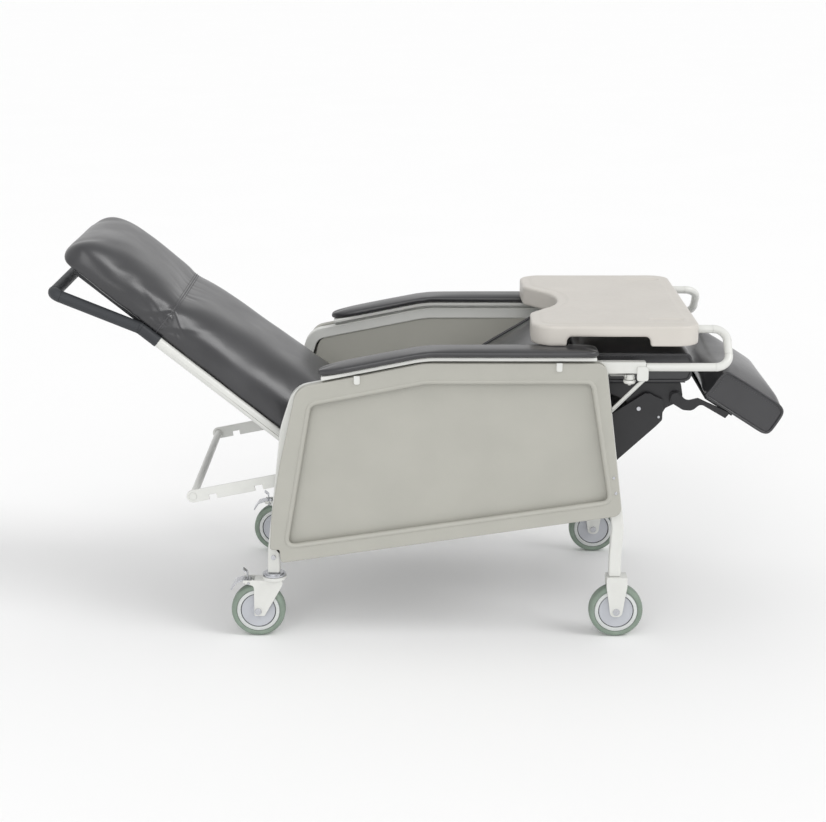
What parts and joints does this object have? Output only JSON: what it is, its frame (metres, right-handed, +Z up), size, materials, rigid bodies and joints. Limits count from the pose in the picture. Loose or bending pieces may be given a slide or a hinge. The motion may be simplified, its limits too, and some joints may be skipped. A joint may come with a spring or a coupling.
{
  "type": "patient recliner chair",
  "caption": "Clinical recliner on casters with side panels, padded arms, slide-in lap tray, push handle and folding leg rest, shown reclined.",
  "frame": {"origin": "on the floor, under the middle of the chair's overall length and width, fully reclined", "axes": "+X towards the foot end, +Y towards the sitter's left, +Z up"},
  "size_m": [1.7091, 0.7, 0.9293],
  "materials": {
    "frame_white": "semi-gloss powder coat",
    "knob_white": "moulded, satin",
    "panel_beige": "moulded with a fine grain",
    "vinyl_charcoal": "soft vinyl with a fine leather grain, satin",
    "tray_cream": "blow-moulded, satin",
    "zinc": "bright zinc plate",
    "tyre_grey": "non-marking rubber, matt",
    "wheel_grey": "moulded, satin",
    "black_steel": "satin black powder coat",
    "black_board": "black faced board, satin",
    "grip_grey": "foam rubber, matt"
  },
  "bodies": {
    "frame": {"side_frame_right": "frame_white", "side_frame_left": "frame_white", "frame_cross_tubes": "frame_white", "lock_rod": "zinc", "seat_pivot_tube": "frame_white", "side_panel_right": "panel_beige", "side_panel_left": "panel_beige", "panel_clips": "frame_white", "panel_screws": "zinc", "arm_pad_right": "vinyl_charcoal", "arm_pad_left": "vinyl_charcoal", "arm_bases": "frame_white", "tray_braces": "frame_white", "front_forks": "frame_white", "front_axles": "zinc", "caster_races": "zinc"},
    "swivel_right": {"rear_fork_right": "frame_white", "rear_axle_right": "zinc"},
    "swivel_left": {"rear_fork_left": "frame_white", "rear_axle_left": "zinc"},
    "pedal_right": {"brake_pedal_right": "zinc"},
    "pedal_left": {"brake_pedal_left": "zinc"},
    "front_wheel_right": {"front_tyre_right": "tyre_grey", "front_hub_right": "wheel_grey"},
    "front_wheel_left": {"front_tyre_left": "tyre_grey", "front_hub_left": "wheel_grey"},
    "rear_wheel_right": {"rear_tyre_right": "tyre_grey", "rear_hub_right": "wheel_grey"},
    "rear_wheel_left": {"rear_tyre_left": "tyre_grey", "rear_hub_left": "wheel_grey"},
    "seat": {"seat_rails": "black_steel", "seat_cross_tubes": "black_steel", "seat_board": "black_board", "seat_cushion": "vinyl_charcoal", "back_hinge_pins": "zinc", "calf_hinge_pins": "zinc"},
    "back": {"back_tubes": "frame_white", "back_cross_tubes": "frame_white", "back_board": "black_board", "back_cushion": "vinyl_charcoal", "head_pillow": "vinyl_charcoal", "handle_tube": "frame_white", "handle_grip": "grip_grey"},
    "lock_bar": {"lock_arms": "frame_white", "lock_crossbar": "frame_white"},
    "calf_rest": {"calf_brackets": "black_steel", "calf_board": "black_board", "calf_pad": "vinyl_charcoal", "step_board": "black_board", "step_cheeks": "black_steel", "step_screws": "zinc"},
    "foot_rest": {"foot_brackets": "black_steel", "foot_board": "black_board", "foot_pad": "vinyl_charcoal", "foot_bolts": "black_steel"},
    "tray": {"tray_top": "tray_cream", "tray_rail_right": "frame_white", "tray_rail_left": "frame_white"},
    "knob_right": {"clamp_knob_right": "knob_white"},
    "knob_left": {"clamp_knob_left": "knob_white"}
  },
  "joints": [
    {"name": "recline", "type": "hinge", "parent": "frame", "child": "seat", "pos_m": [0.05949, 0, 0.357], "axis": [0, 1, 0], "range_deg": [0, 28]},
    {"name": "back_tilt", "type": "hinge", "parent": "seat", "child": "back", "pos_m": [-0.09692, 0, 0.28199], "axis": [0, 1, 0], "range_deg": [0, 14.5]},
    {"name": "calf_fold", "type": "hinge", "parent": "seat", "child": "calf_rest", "pos_m": [0.36249, 0, 0.59], "axis": [0, 1, 0], "range_deg": [0, 60]},
    {"name": "foot_fold", "type": "hinge", "parent": "calf_rest", "child": "foot_rest", "pos_m": [0.59749, 0, 0.56], "axis": [0, 1, 0], "range_deg": [0, 63]},
    {"name": "lock_swing", "type": "hinge", "parent": "back", "child": "lock_bar", "pos_m": [-0.24062, 0, 0.38894], "axis": [0, 1, 0], "range_deg": [-75, 0]},
    {"name": "tray_slide", "type": "slide", "parent": "frame", "child": "tray", "axis": [1, 0, 0], "range_m": [-0.08, 0.22]},
    {"name": "swivel_right_turn", "type": "hinge", "parent": "frame", "child": "swivel_right", "pos_m": [-0.33851, -0.3, 0.148], "axis": [0, 0, 1], "continuous": true},
    {"name": "rear_wheel_right_spin", "type": "hinge", "parent": "swivel_right", "child": "rear_wheel_right", "pos_m": [-0.37651, -0.3, 0.0635], "axis": [0, 1, 0], "continuous": true},
    {"name": "front_wheel_right_spin", "type": "hinge", "parent": "frame", "child": "front_wheel_right", "pos_m": [0.46449, -0.3, 0.0635], "axis": [0, 1, 0], "continuous": true},
    {"name": "pedal_right_press", "type": "hinge", "parent": "swivel_right", "child": "pedal_right", "pos_m": [-0.39751, -0.3, 0.133], "axis": [0, 1, 0], "range_deg": [-6, 0]},
    {"name": "knob_right_turn", "type": "hinge", "parent": "frame", "child": "knob_right", "pos_m": [0.48049, -0.3, 0.62], "axis": [0, 0, 1], "continuous": true},
    {"name": "swivel_left_turn", "type": "hinge", "parent": "frame", "child": "swivel_left", "pos_m": [-0.33851, 0.3, 0.148], "axis": [0, 0, 1], "continuous": true},
    {"name": "rear_wheel_left_spin", "type": "hinge", "parent": "swivel_left", "child": "rear_wheel_left", "pos_m": [-0.37651, 0.3, 0.0635], "axis": [0, 1, 0], "continuous": true},
    {"name": "front_wheel_left_spin", "type": "hinge", "parent": "frame", "child": "front_wheel_left", "pos_m": [0.46449, 0.3, 0.0635], "axis": [0, 1, 0], "continuous": true},
    {"name": "pedal_left_press", "type": "hinge", "parent": "swivel_left", "child": "pedal_left", "pos_m": [-0.39751, 0.3, 0.133], "axis": [0, 1, 0], "range_deg": [-6, 0]},
    {"name": "knob_left_turn", "type": "hinge", "parent": "frame", "child": "knob_left", "pos_m": [0.48049, 0.3, 0.62], "axis": [0, 0, 1], "continuous": true}
  ],
  "couplings": [
    {"joint": "back_tilt", "follows": "recline", "ratio": 0.5},
    {"joint": "calf_fold", "follows": "recline", "ratio": 2.1},
    {"joint": "foot_fold", "follows": "recline", "ratio": 2.2},
    {"joint": "lock_swing", "follows": "recline", "ratio": -2.64}
  ]
}
